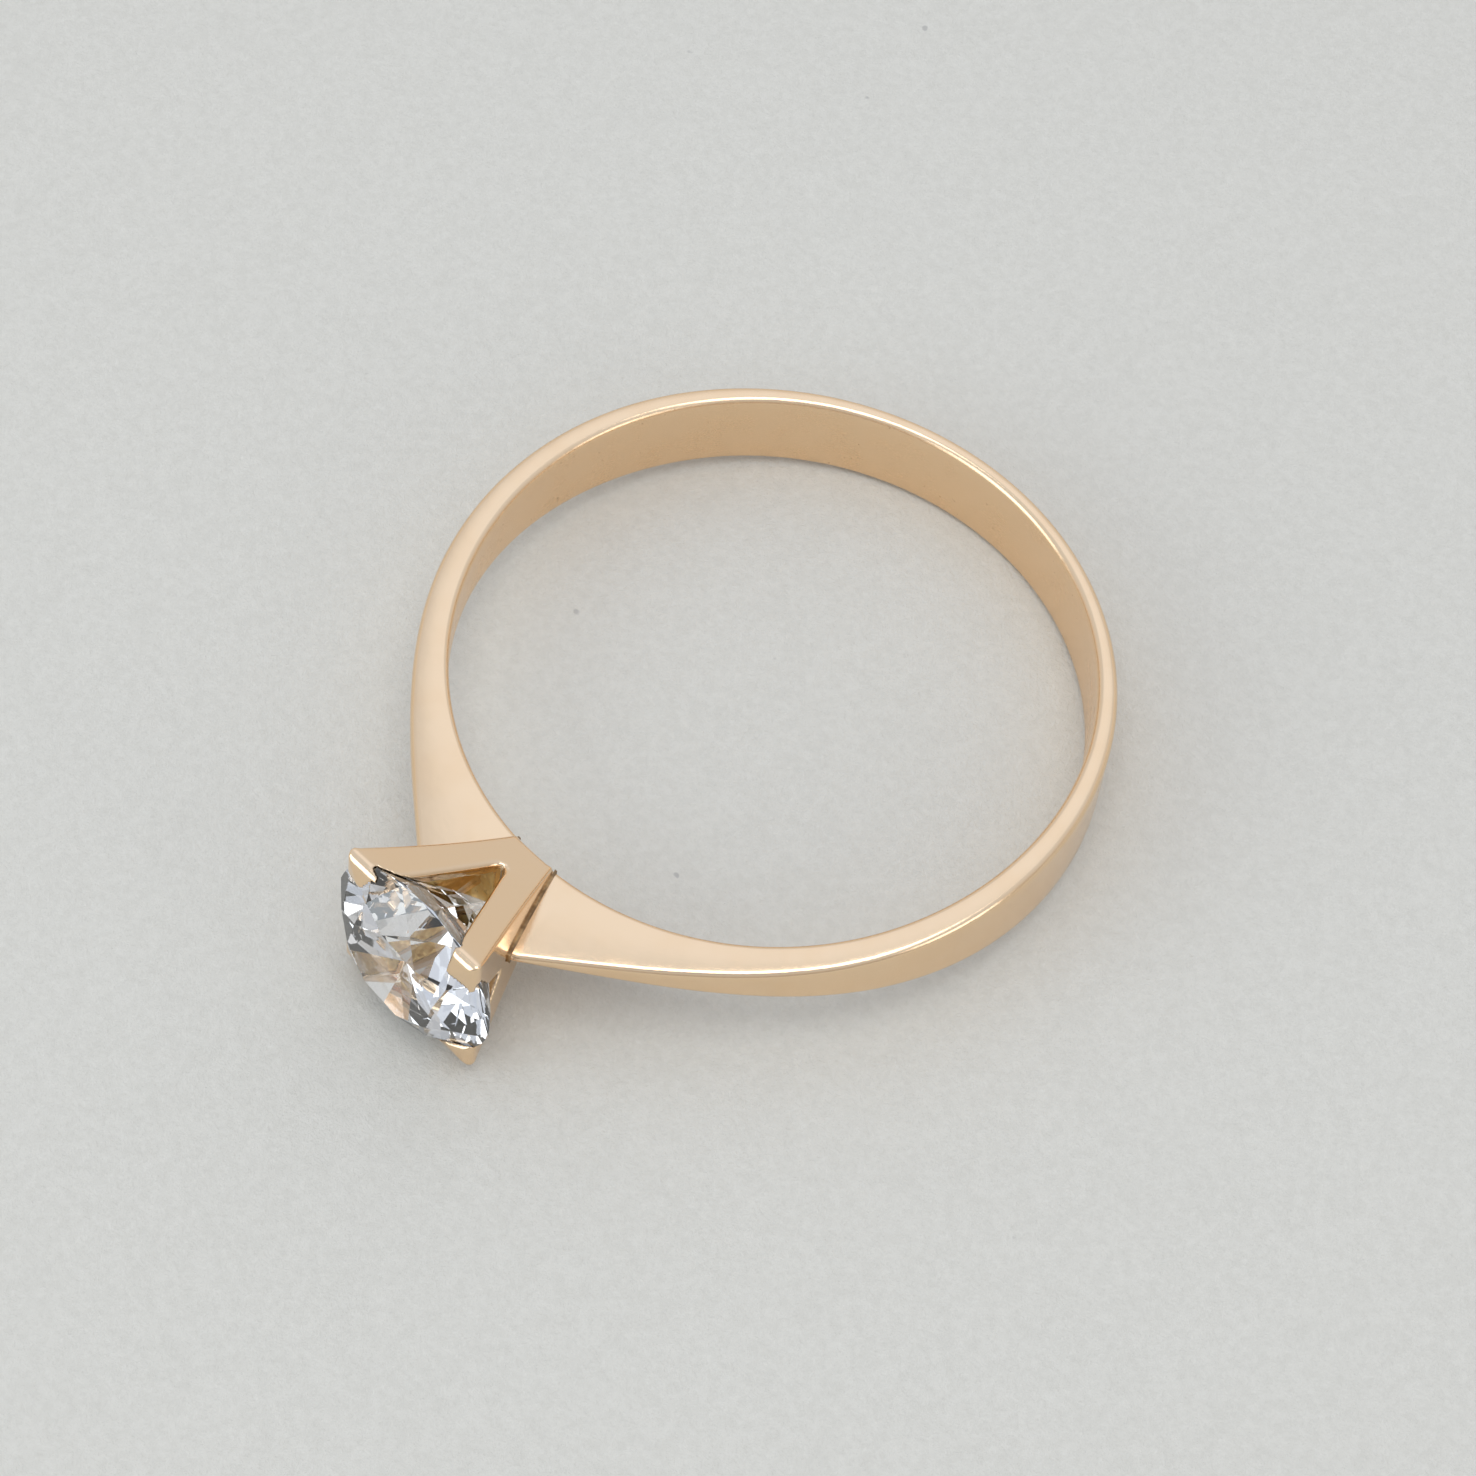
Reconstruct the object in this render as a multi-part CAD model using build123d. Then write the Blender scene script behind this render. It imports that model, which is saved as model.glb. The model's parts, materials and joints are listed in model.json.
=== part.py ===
"""Solitaire engagement ring: a gold band, a four-claw setting soldered into it and a round brilliant.

Lengths are in millimetres and angles in degrees.  The ring is drawn flat, with the finger hole centred on
the origin and its axis along Z, the stone facing -Y and the right-hand shoulder towards +X.  It is then
turned about X to lie as it does on a table, on the head and the back of the band.  A "reach" is a
distance from the middle of the finger hole towards the stone.
"""
import os
from math import atan2, cos, degrees, radians, sin, sqrt, tan

from build123d import *

# Band
hole_radius = 8.5
band_width = 2.55
band_back_thickness = 0.46
band_side_thickness = 0.70
band_edge_round = 0.14
thinnest_share = 0.45              # the most of the thinnest section that an edge's rounding may take

# Shoulders, where the band turns into two upright blades
shoulder_start_angle = 62.0        # from the stone, round the finger hole
shoulder_end_height = 2.50         # above the finger hole
shoulder_end_angle = 51.0          # between the blade's outer edge and the reach direction
shoulder_end_width = 0.32
shoulder_taper_start = 0.8         # behind the middle of the finger hole
shoulder_taper_blend = 70.0

# Claw setting, with its heights above the finger hole
setting_base_gap = 0.12            # between the finger hole and the setting's foot
setting_base_height = 0.19
setting_base_width = 1.46
setting_shoulder_height = 4.40     # just under the ends of the claws
setting_side_bow = 0.07
setting_corner_round = 0.12
claw_back = 0.705                  # from the stone's girdle out to the corner of the setting
claw_rise = 0.20                   # from the stone's girdle up to the setting's shoulder
claw_end_slope = 18.0
claw_end_round = 0.28
wall_thickness = 0.50
cup_floor_height = 1.40

# Windows in the setting: the two along the finger's axis run deep, the two over the shoulders are short
deep_window_height = 0.88
deep_window_width = 3.20
deep_window_round = 0.28
side_window_height = 2.80
side_window_width = 2.90
side_window_round = 0.20

# Solder
solder_thickness = 0.07

# Stone
girdle_radius = 2.76
girdle_thickness = 0.10
crown_angle = 34.5
pavilion_angle = 40.8
table_ratio = 0.57
star_length_ratio = 0.50
lower_facet_ratio = 0.78
stone_turn = 11.0
seat_clearance = 0.02

# Worked out from the sizes above
shoulder_end_reach = hole_radius + shoulder_end_height
setting_base_reach = hole_radius + setting_base_height
setting_shoulder_reach = hole_radius + setting_shoulder_height
setting_shoulder_width = sqrt(2) * (girdle_radius + claw_back)
girdle_reach = setting_shoulder_reach - claw_rise

# The drawing planes: both measure reach along their second direction
PLAN = Plane(origin=(0, 0, 0), x_dir=(1, 0, 0), z_dir=(0, 0, -1))
SIDE = Plane(origin=(0, 0, 0), x_dir=(0, 0, 1), z_dir=(1, 0, 0))
FAR = 2 * hole_radius


def prism(face, plane):
    """A face drawn on the plane, carried far out on both sides of it."""
    return extrude(plane.offset(-FAR).location * face, 2 * FAR)


def mirrored_polygon(points):
    """A face whose outline is the points, then their mirror images in reverse order."""
    return make_face(Polyline(points + [(-across, reach) for across, reach in reversed(points)], close=True))


# ---------------------------------------------------------------- band

def band_face():
    """The band's outer outline seen along the finger's axis, with the shoulders carried on into the setting."""
    outer_radius = hole_radius + band_side_thickness
    outer_centre = band_side_thickness - band_back_thickness
    start = radians(shoulder_start_angle)
    end = radians(shoulder_end_angle)
    blend = (outer_radius * sin(start), outer_centre + outer_radius * cos(start))
    corner = (setting_half_width(shoulder_end_reach), shoulder_end_reach)
    back = (0, outer_centre - outer_radius)
    right = Spline(blend, corner, tangents=[(-cos(start), sin(start)), (-sin(end), cos(end))])
    left = mirror(right, Plane.YZ)
    around = ThreePointArc(blend, back, (-blend[0], blend[1]))
    across = Line(corner, (-corner[0], corner[1]))
    return make_face(Curve() + [right, left, around, across])


def band_blank():
    """The whole band before the setting is let into it: full width at the back, drawn in at the front."""
    half_back = band_width / 2
    half_end = shoulder_end_width / 2
    profile = mirrored_polygon([
        (half_back, -FAR), (half_back, -shoulder_taper_start), (half_end, shoulder_end_reach), (half_end, FAR),
    ])
    knees = profile.vertices().filter_by(lambda v: abs(v.Y + shoulder_taper_start) < band_edge_round)
    profile = fillet(knees, shoulder_taper_blend)
    return prism(band_face(), PLAN) & prism(profile, SIDE) - Cylinder(hole_radius, 2 * FAR)


def make_shank(blank):
    """The band with the setting's space taken out of its front and its long edges rounded."""
    shank = blank - joint_space(solder_spread())
    joints = shank.faces().sort_by(Axis.Y)[:2]
    long_edges = shank.edges().filter_by(lambda edge: edge.length > band_width)
    rounding = min(band_edge_round, thinnest_share * min(band_back_thickness, shoulder_end_width))
    return fillet([edge for edge in long_edges if edge not in joints.edges()], rounding)


# ---------------------------------------------------------------- setting

def setting_half_width(reach):
    """Half the width of the setting at a reach, leaving out the slight bow of its sides."""
    share = (reach - setting_base_reach) / (setting_shoulder_reach - setting_base_reach)
    return (setting_base_width + share * (setting_shoulder_width - setting_base_width)) / 2


def setting_side_slope():
    """The angle between the setting's sides and its axis, in radians."""
    rise = setting_shoulder_reach - setting_base_reach
    return atan2((setting_shoulder_width - setting_base_width) / 2, rise)


def setting_face(margin, peak_reach):
    """The setting's outer shape in one direction: a flat foot, bowed sides moved out by a margin, and a roof."""
    foot_reach = hole_radius - setting_base_gap
    foot = (setting_half_width(foot_reach) + margin, foot_reach)
    shoulder = (setting_shoulder_width / 2 + margin, setting_shoulder_reach)
    right = SagittaArc(foot, shoulder, setting_side_bow)
    left = mirror(right, Plane.YZ)
    roof = Polyline(shoulder, (0, peak_reach), (-shoulder[0], shoulder[1]))
    return make_face(Curve() + [right, left, roof, Line(foot, (-foot[0], foot[1]))])


def setting_prism(plane):
    """The setting's outer shape in one direction, with a roof that slopes up over the stone."""
    rise = setting_shoulder_width / 2 * tan(radians(claw_end_slope))
    face = setting_face(0, setting_shoulder_reach + rise)
    ends = face.vertices().filter_by(lambda v: abs(v.Y - setting_shoulder_reach) < claw_end_round)
    return prism(fillet(ends, claw_end_round), plane)


def joint_space(margin):
    """The space between the shoulders: the setting's sides, moved out by a margin."""
    return prism(setting_face(margin, setting_shoulder_reach + FAR), PLAN)


def solder_spread():
    """The thickness of the solder, measured across the ring instead of square to the setting's side."""
    return solder_thickness / cos(setting_side_slope())


def is_corner(edge):
    """Whether an edge runs along a corner of the setting, where two of its sides meet."""
    middle = edge @ 0.5
    return abs(middle.X) > solder_thickness and abs(abs(middle.X) - abs(middle.Z)) < solder_thickness


def cavity():
    """The tapered hollow inside the setting, from its floor up to the girdle of the stone."""
    reaches = (hole_radius + cup_floor_height, girdle_reach)
    face = mirrored_polygon([(setting_half_width(reach) - wall_thickness, reach) for reach in reaches])
    return prism(face, PLAN) & prism(face, SIDE)


def window(height, width, rounding, plane):
    """A V-shaped opening through two opposite walls, with its rounded point at a height over the finger hole."""
    reach = hole_radius + height
    peak_reach = setting_shoulder_reach + setting_shoulder_width
    slope = width / 2 / (setting_shoulder_reach - reach)
    half_top = slope * (peak_reach - reach)
    face = make_face(Polyline((0, reach), (half_top, peak_reach), (-half_top, peak_reach), close=True))
    point = face.vertices().sort_by(Axis.Y)[0]
    return prism(fillet(point, rounding), plane)


def make_setting(seat):
    """The claw setting: a hollow square cup, cut by its windows, footed on the finger hole and seated."""
    body = setting_prism(PLAN) & setting_prism(SIDE)
    corners = body.edges().filter_by(lambda edge: edge.length > girdle_radius)
    body = fillet(corners.filter_by(is_corner), setting_corner_round)
    body -= Cylinder(hole_radius + setting_base_gap, 2 * FAR)
    body -= cavity()
    body -= window(deep_window_height, deep_window_width, deep_window_round, PLAN)
    body -= window(side_window_height, side_window_width, side_window_round, SIDE)
    return body - seat


# ---------------------------------------------------------------- stone

def facet(points, outward):
    """The plane through three points, turned so that it faces the outward direction."""
    first, second, third = (Vector(*point) for point in points)
    normal = (second - first).cross(third - first).normalized()
    return Plane(origin=first, z_dir=normal if normal.dot(Vector(*outward)) > 0 else -normal)


def polar(radius, angle, height):
    """A point at a radius and an angle round the stone's axis, at a height over the middle of its girdle."""
    return (radius * cos(radians(angle)), radius * sin(radians(angle)), height)


def half_facets(angle, slope, tip_radius, side):
    """The main facet at an angle, and the two facets that break its corners down to the girdle."""
    half_girdle = girdle_thickness / 2
    rise = tan(radians(slope))
    corner = polar(girdle_radius, angle, side * half_girdle)
    inner = polar(0, angle, side * (half_girdle + girdle_radius * rise))
    level = (-sin(radians(angle)), cos(radians(angle)), 0)
    beside = tuple(a + b for a, b in zip(corner, level))
    facets = [facet((corner, inner, beside), corner)]
    for turn in (-22.5, 22.5):
        tip_rise = (girdle_radius - tip_radius * cos(radians(turn))) * rise
        tip = polar(tip_radius, angle + turn, side * (half_girdle + tip_rise))
        next_corner = polar(girdle_radius, angle + turn, side * half_girdle)
        facets.append(facet((tip, corner, next_corner), corner))
    return facets


def star_facet(angle, table_radius, table_height, tip_radius):
    """The small facet between an edge of the table and the upper facets."""
    tip_rise = (girdle_radius - tip_radius * cos(radians(22.5))) * tan(radians(crown_angle))
    tip = polar(tip_radius, angle, girdle_thickness / 2 + tip_rise)
    ends = [polar(table_radius, angle + turn, table_height) for turn in (-22.5, 22.5)]
    return facet((tip, *ends), (0, 0, 1))


def make_stone():
    """A round brilliant, cut facet by facet out of a cylinder, with its girdle round the origin."""
    table_radius = table_ratio * girdle_radius
    table_height = girdle_thickness / 2 + (girdle_radius - table_radius) * tan(radians(crown_angle))
    table_edge = table_radius * cos(radians(22.5))
    star_radius = table_edge + star_length_ratio * (girdle_radius - table_edge)
    lower_radius = (1 - lower_facet_ratio) * girdle_radius
    facets = [Plane(origin=(0, 0, table_height), z_dir=(0, 0, 1))]
    for eighth in range(8):
        angle = 45.0 * eighth
        facets += half_facets(angle, crown_angle, star_radius, 1)
        facets += half_facets(angle, pavilion_angle, lower_radius, -1)
        facets.append(star_facet(angle + 22.5, table_radius, table_height, star_radius))
    stone = Cylinder(girdle_radius, 2 * girdle_radius)
    for plane in facets:
        stone = split(stone, bisect_by=plane, keep=Keep.BOTTOM)
    return stone


# ---------------------------------------------------------------- ring

def make_flat_ring():
    """Every piece of the ring, drawn flat."""
    stone_place = Plane(origin=(0, -girdle_reach, 0), x_dir=(1, 0, 0), z_dir=(0, -1, 0)).location
    loose_stone = Rot(0, 0, stone_turn) * make_stone()
    seat = stone_place * scale(loose_stone, by=1 + seat_clearance / girdle_radius)
    blank = band_blank()
    solder = (blank & joint_space(solder_spread())) - joint_space(0)
    left, right = solder.solids().sort_by(Axis.X)
    return {
        "shank": make_shank(blank),
        "claw_setting": make_setting(seat),
        "stone": stone_place * loose_stone,
        "solder_seam_left": left,
        "solder_seam_right": right,
    }


def resting_turn():
    """The turn about X that lays the ring on the table, on the front of the head and the back of the band."""
    front_depth = max(girdle_radius, setting_shoulder_width / 2)
    back_reach = hole_radius + band_back_thickness
    return -degrees(atan2(front_depth - band_width / 2, girdle_reach + back_reach))


os.makedirs("parts", exist_ok=True)
for node, piece in make_flat_ring().items():
    export_step(Rot(resting_turn(), 0, 0) * piece, f"parts/{node}.step")
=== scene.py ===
"""The looks of a solitaire engagement ring: a gold band, and a claw setting that holds a round brilliant.

The new pieces are modelled flat and in millimetres, with the finger hole centred on the origin and its axis
along Z, and the stone facing -Y.  Each is then laid at the ring's lean and brought to metres.  A "reach" is
a distance from the middle of the finger hole towards the stone.
"""
from __future__ import annotations

import json
import logging
from collections.abc import Callable, Iterator
from contextlib import contextmanager
from dataclasses import dataclass
from enum import Enum
from math import asin, atan2, cos, hypot, pi, radians, sin, sqrt, tan

import bmesh
import bpy
from mathutils import Matrix, Vector, noise


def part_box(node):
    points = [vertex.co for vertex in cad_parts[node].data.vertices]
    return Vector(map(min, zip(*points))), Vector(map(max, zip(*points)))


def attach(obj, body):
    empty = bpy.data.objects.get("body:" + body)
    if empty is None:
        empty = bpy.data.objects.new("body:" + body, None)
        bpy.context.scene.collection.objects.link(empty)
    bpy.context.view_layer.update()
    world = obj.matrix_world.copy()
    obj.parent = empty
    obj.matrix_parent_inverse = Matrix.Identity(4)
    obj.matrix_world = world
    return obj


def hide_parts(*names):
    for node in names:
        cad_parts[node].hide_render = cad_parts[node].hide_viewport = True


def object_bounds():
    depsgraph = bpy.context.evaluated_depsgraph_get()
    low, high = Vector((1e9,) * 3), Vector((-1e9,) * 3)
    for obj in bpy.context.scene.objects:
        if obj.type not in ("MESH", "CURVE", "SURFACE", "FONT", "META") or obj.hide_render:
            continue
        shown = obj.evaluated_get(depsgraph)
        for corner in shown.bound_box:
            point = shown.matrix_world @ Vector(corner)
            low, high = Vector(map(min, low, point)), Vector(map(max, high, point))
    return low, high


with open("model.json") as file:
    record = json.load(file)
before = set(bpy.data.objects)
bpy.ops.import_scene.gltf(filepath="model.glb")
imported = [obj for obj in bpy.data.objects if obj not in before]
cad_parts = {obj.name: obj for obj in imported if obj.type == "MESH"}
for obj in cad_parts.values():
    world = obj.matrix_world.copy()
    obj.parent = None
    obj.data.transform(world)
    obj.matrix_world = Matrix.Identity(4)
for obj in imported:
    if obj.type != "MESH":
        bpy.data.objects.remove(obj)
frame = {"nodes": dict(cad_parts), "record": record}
cad_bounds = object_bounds()

LOG = logging.getLogger("ring")
MM = 0.001      # metres in a millimetre
NEAR = 0.001    # millimetres within which two places count as one

Colour = tuple[float, float, float, float]
Triple = tuple[float, float, float]
Span = tuple[float, float]
MeshItem = bmesh.types.BMVert | bmesh.types.BMEdge | bmesh.types.BMFace


def heading(azimuth: float, elevation: float) -> Vector:
    """The direction at an azimuth, taken from -Y towards +X, and an elevation."""
    level = cos(elevation)
    return Vector((sin(azimuth) * level, -cos(azimuth) * level, sin(elevation)))


# ---------------------------------------------------------------- shader maths

class Sock:
    """A node's output socket that takes part in arithmetic."""

    def __init__(self, bench: Bench, socket: bpy.types.NodeSocket) -> None:
        """Keep the socket and the bench that its next nodes are added on."""
        self.bench = bench
        self.socket = socket

    def __add__(self, other: Sock | float) -> Sock:
        """This plus the other."""
        return self.bench.maths("ADD", self, other)

    __radd__ = __add__

    def __mul__(self, other: Sock | float) -> Sock:
        """This times the other."""
        return self.bench.maths("MULTIPLY", self, other)

    __rmul__ = __mul__

    def __sub__(self, other: Sock | float) -> Sock:
        """This minus the other."""
        return self.bench.maths("SUBTRACT", self, other)

    def __rsub__(self, other: Sock | float) -> Sock:
        """The other minus this."""
        return self.bench.maths("SUBTRACT", other, self)

    def __pow__(self, other: Sock | float) -> Sock:
        """This to the power of the other."""
        return self.bench.maths("POWER", self, other)

    def step(self, low: float, high: float) -> Sock:
        """Rise smoothly from 0 to 1 as this goes from low to high."""
        return self.bench.add("ShaderNodeMapRange", {"interpolation_type": "SMOOTHSTEP"},
                              {"Value": self, "From Min": low, "From Max": high})


class Bench:
    """The emptied node tree of a material or of the studio, with methods that add nodes to it."""

    def __init__(self, owner: bpy.types.Material | bpy.types.World) -> None:
        """Clear the owner's nodes.

        Args:
            owner: the material or the world that the nodes belong to.
        """
        self.owner = owner
        owner.use_nodes = True
        self.tree = owner.node_tree
        self.tree.nodes.clear()

    @classmethod
    def for_material(cls, name: str) -> Bench:
        """Start a material of that name."""
        return cls(bpy.data.materials.new(name))

    def add(self, kind: str, settings: dict | None = None, values: dict | None = None,
            output: str | int = 0) -> Sock:
        """Add a node of any kind.

        Args:
            kind: the node's type.
            settings: its own settings.
            values: what goes into its sockets, by name or number: a plain value or another socket.
            output: the output that is wanted.

        Returns:
            That output.
        """
        node = self.tree.nodes.new(kind)
        for key, value in (settings or {}).items():
            setattr(node, key, value)
        for key, value in (values or {}).items():
            if isinstance(value, Sock):
                self.tree.links.new(value.socket, node.inputs[key])
            else:
                node.inputs[key].default_value = value
        return Sock(self, node.outputs[output])

    def maths(self, operation: str, *operands: Sock | float) -> Sock:
        """Add a Math node on the operands."""
        return self.add("ShaderNodeMath", {"operation": operation}, dict(enumerate(operands)))

    def dot(self, way: Sock, direction: Vector) -> Sock:
        """How closely a way follows a direction, from -1 to 1."""
        settings = {"operation": "DOT_PRODUCT"}
        return self.add("ShaderNodeVectorMath", settings, {0: way, 1: direction}, "Value")

    def mix(self, share: Sock | float, first: Sock | Colour, second: Sock | Colour) -> Sock:
        """Mix two colours, from the first at a share of 0 to the second at 1."""
        return self.add("ShaderNodeMix", {"data_type": "RGBA"}, {0: share, 6: first, 7: second}, 2)

    def place(self, turn: float = 0.0, stretch: Triple = (1, 1, 1)) -> Sock:
        """Places on the piece in millimetres, turned about X by an angle and stretched.

        Args:
            turn: the angle, in radians.
            stretch: the share along each axis.

        Returns:
            The places, as vectors.
        """
        where = self.add("ShaderNodeTexCoord", output="Object")
        turned = self.add("ShaderNodeMapping", values={"Vector": where, "Rotation": (turn, 0, 0)})
        scale = tuple(share / MM for share in stretch)
        return self.add("ShaderNodeVectorMath", {"operation": "MULTIPLY"}, {0: turned, 1: scale})

    def cloud(self, where: Sock, scale: float, detail: float = 3.0, roughness: float = 0.55) -> Sock:
        """A soft random pattern between 0 and 1."""
        values = {"Vector": where, "Scale": scale, "Detail": detail, "Roughness": roughness}
        return self.add("ShaderNodeTexNoise", None, values, "Fac")

    def bump(self, height: Sock, depth: float, strength: float = 1.0) -> Sock:
        """A surface raised by a height between 0 and 1, at a depth in millimetres."""
        values = {"Height": height, "Distance": depth * MM, "Strength": strength}
        return self.add("ShaderNodeBump", None, values)

    def surface(self, values: dict) -> bpy.types.Material:
        """Finish the material with a principled surface of those values.

        Args:
            values: what goes into the surface's sockets, by name.

        Returns:
            The material.
        """
        shader = self.add("ShaderNodeBsdfPrincipled", None, values)
        self.end("ShaderNodeOutputMaterial", shader)
        return self.owner

    def end(self, kind: str, shader: Sock) -> None:
        """Send a shader to an output node."""
        output = self.tree.nodes.new(kind)
        self.tree.links.new(shader.socket, output.inputs["Surface"])


# ---------------------------------------------------------------- finishes

@dataclass(frozen=True)
class BandGold:
    """Rose-tinted yellow gold, polished long ago and worn by the finger and the table."""

    lean: float
    hole_radius: float
    tint: Colour = (0.920, 0.680, 0.445, 1)
    # deep_tint: tone that differs at random, and painted reflected light on the inside of the band
    deep_tint: Colour = (0.880, 0.600, 0.350, 1)
    grime: Colour = (0.240, 0.140, 0.070, 1)
    polish: float = 0.07
    scratch_scale: float = 9.0
    scratch_stretch: float = 9.0
    haze_scale: float = 0.9
    speck_scale: float = 7.0
    patch_scale: float = 0.45
    relief: float = 0.0022
    inside_span: Span = (0.02, 0.10)    # above the finger hole, where the inside's finish ends

    def inside(self, bench: Bench, where: Sock) -> Sock:
        """Tell the face that the finger touches from the rest.

        Args:
            bench: the bench of the material.
            where: the places on the flat band, in millimetres.

        Returns:
            The share of the inside, from 0 to 1.
        """
        parts = {axis: bench.add("ShaderNodeSeparateXYZ", values={0: where}, output=axis) for axis in "XY"}
        radius = (parts["X"] * parts["X"] + parts["Y"] * parts["Y"]) ** 0.5
        low, high = self.inside_span
        return 1 - radius.step(self.hole_radius + low, self.hole_radius + high)

    def material(self) -> bpy.types.Material:
        """Build the gold with fine scratches, soft ripples, and a duller inside with specks of grime, its
        deeper tint there being painted reflected light, gold bounced off gold.

        Returns:
            The material.
        """
        bench = Bench.for_material("band_gold")
        where = bench.place(-self.lean)
        across = bench.place(-self.lean, (1, 1, self.scratch_stretch))
        inside = self.inside(bench, where)
        scratches = bench.cloud(across, self.scratch_scale, 4.0, 0.7)
        haze = bench.cloud(where, self.haze_scale, 2.0)
        specks = bench.cloud(where, self.speck_scale, 2.0).step(0.70, 0.76)
        patches = bench.cloud(where, self.patch_scale, 1.0).step(0.5, 0.62)
        grimy = specks * patches * inside
        # the inside's share of the deeper tint is painted reflected light, gold bounced off gold inside the
        # band; the haze's share is tone that differs at random
        tone = bench.mix(haze.step(0.35, 0.75) * 0.25 + inside * 0.25, self.tint, self.deep_tint)
        dullness = scratches * 0.10 + haze * 0.08 + inside * 0.10 + grimy * 0.3
        return bench.surface({
            "Base Color": bench.mix(grimy * 0.7, tone, self.grime),
            "Metallic": 1.0,
            "Roughness": dullness + self.polish,
            "Normal": bench.bump(scratches + haze * 6, self.relief),
        })


@dataclass(frozen=True)
class SettingGold:
    """The same gold as cast: polished where a buff reaches, rough and amber where it doesn't."""

    attribute: str
    tint: Colour = (0.920, 0.680, 0.445, 1)
    cast_tint: Colour = (0.960, 0.680, 0.280, 1)
    pit: Colour = (0.160, 0.080, 0.025, 1)
    polish: float = 0.07
    grain_scale: float = 5.0
    fine_scale: float = 22.0
    haze_scale: float = 1.1
    relief: float = 0.006

    def material(self) -> bpy.types.Material:
        """Build the gold, rough where the piece's own attribute says that it was left as cast.

        Returns:
            The material.
        """
        bench = Bench.for_material("setting_gold")
        where = bench.place()
        cast = bench.add("ShaderNodeAttribute", {"attribute_name": self.attribute}, output="Fac")
        grain = bench.cloud(where, self.grain_scale, 4.0, 0.65)
        fine = bench.cloud(where, self.fine_scale, 2.0)
        haze = bench.cloud(where, self.haze_scale, 2.0)
        pits = grain.step(0.60, 0.72) * cast
        tone = bench.mix(cast, self.tint, self.cast_tint)
        rough_height = (grain * 7 + fine * 1.5) * cast
        polished_height = (fine * 0.35 + haze * 2.0) * (1 - cast)
        return bench.surface({
            "Base Color": bench.mix(pits * 0.6, tone, self.pit),
            "Metallic": 1 - cast * 0.5,
            "Roughness": cast * 0.22 + fine * 0.05 + haze * 0.06 + self.polish,
            "Normal": bench.bump(rough_height + polished_height, self.relief),
        })


@dataclass(frozen=True)
class Brilliant:
    """A clear colourless stone that bends light strongly."""

    index: float = 2.20
    tint: Colour = (1.0, 1.0, 1.0, 1)
    trace_scale: float = 40.0
    trace_haze: float = 0.03

    def material(self) -> bpy.types.Material:
        """Build the stone, with faint traces of polish on its facets.

        Returns:
            The material.
        """
        bench = Bench.for_material("brilliant")
        traces = bench.cloud(bench.place(), self.trace_scale, 1.0)
        return bench.surface({
            "Base Color": self.tint,
            "Roughness": traces.step(0.72, 0.9) * self.trace_haze,
            "IOR": self.index,
            "Transmission Weight": 1.0,
        })


@dataclass(frozen=True)
class Solder:
    """The thin line of solder in a joint, dull and darkened."""

    tint: Colour = (0.600, 0.430, 0.240, 1)
    dark: Colour = (0.200, 0.130, 0.070, 1)
    patch_scale: float = 3.0
    pit_scale: float = 16.0
    relief: float = 0.02

    def material(self) -> bpy.types.Material:
        """Build the solder, pitted and dark in patches.

        Returns:
            The material.
        """
        bench = Bench.for_material("solder")
        where = bench.place()
        patches = bench.cloud(where, self.patch_scale, 4.0)
        pits = bench.cloud(where, self.pit_scale, 2.0)
        return bench.surface({
            "Base Color": bench.mix(patches.step(0.35, 0.7), self.dark, self.tint),
            "Metallic": 0.85,
            "Roughness": patches * 0.3 + 0.35,
            "Normal": bench.bump(pits, self.relief),
        })


@dataclass(frozen=True)
class Paper:
    """Pale grey paper with a soft tooth and a few dark flecks."""

    tint: Colour = (0.695, 0.670, 0.605, 1)
    low_tint: Colour = (0.640, 0.616, 0.553, 1)
    fleck: Colour = (0.330, 0.320, 0.310, 1)
    tooth_scale: float = 8.0
    mottle_scale: float = 4.0
    fleck_scale: float = 1.3
    relief: float = 0.06

    def material(self) -> bpy.types.Material:
        """Build the paper.

        Returns:
            The material.
        """
        bench = Bench.for_material("paper")
        where = bench.place()
        tooth = bench.cloud(where, self.tooth_scale, 5.0, 0.7)
        mottle = bench.cloud(where, self.mottle_scale, 5.0, 0.66)
        flecks = bench.cloud(where, self.fleck_scale, 2.0, 0.4).step(0.80, 0.84)
        paper = bench.mix(mottle.step(0.25, 0.75), self.low_tint, self.tint)
        return bench.surface({
            "Base Color": bench.mix(flecks * 0.5, paper, self.fleck),
            "Roughness": 0.95,
            "Specular IOR Level": 0.2,
            "Normal": bench.bump(tooth, self.relief, 0.9),
        })


# ---------------------------------------------------------------- modelling

class Leave(Enum):
    """What a tool leaves of a piece: what lies outside it, or what lies inside it."""

    OUTSIDE = "DIFFERENCE"
    INSIDE = "INTERSECT"


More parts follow.
